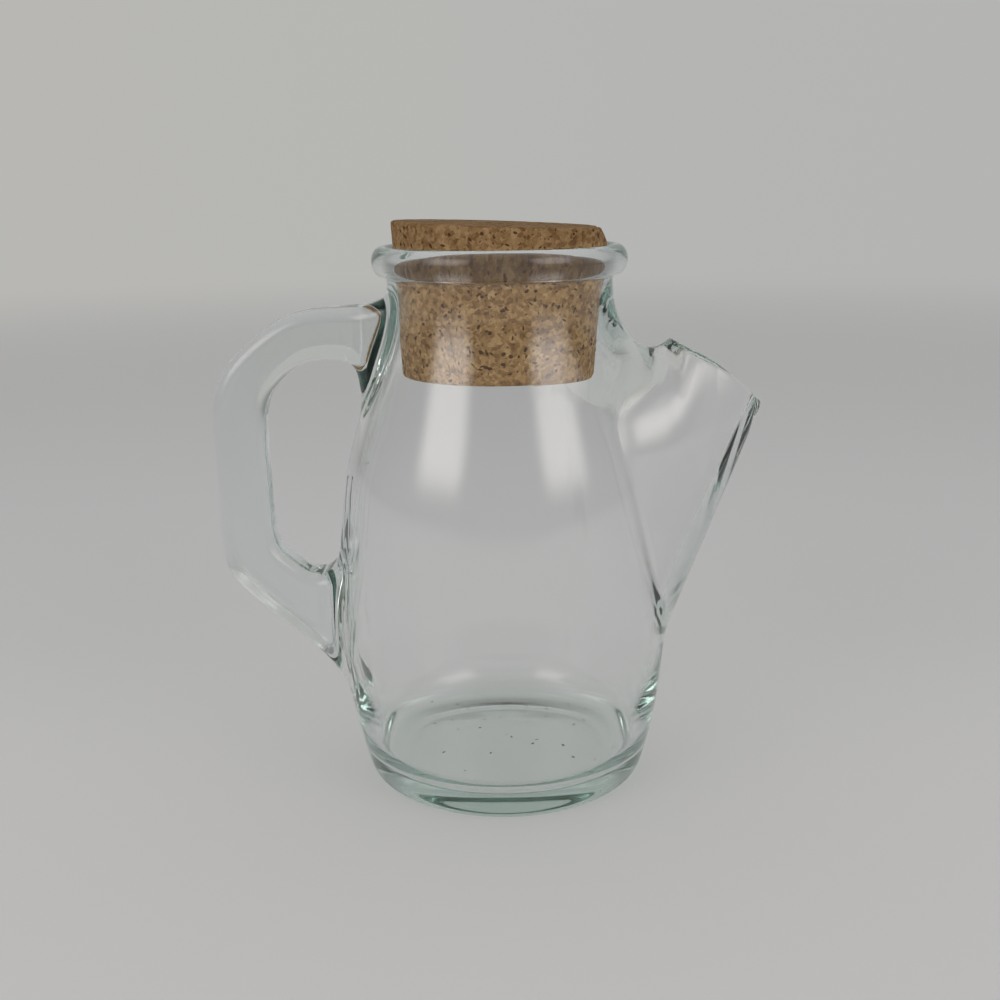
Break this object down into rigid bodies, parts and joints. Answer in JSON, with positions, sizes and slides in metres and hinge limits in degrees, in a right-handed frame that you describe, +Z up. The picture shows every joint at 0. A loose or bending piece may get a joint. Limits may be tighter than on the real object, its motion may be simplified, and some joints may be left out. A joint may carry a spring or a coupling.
{
  "type": "glass pitcher",
  "caption": "Clear glass pitcher with a beaded rim, side beak spout, solid bar handle and a tapered cork stopper.",
  "frame": {"origin": "on the body's axis, in the plane of the foot that it stands on", "axes": "+Z up along the body's axis, +X towards the spout, -X towards the handle"},
  "size_m": [0.165, 0.1008, 0.1704],
  "materials": {
    "glass": "clear, faint grey-green",
    "cork": "matt agglomerated cork"
  },
  "bodies": {
    "root": {"pitcher": "glass", "stopper": "cork"}
  },
  "joints": []
}
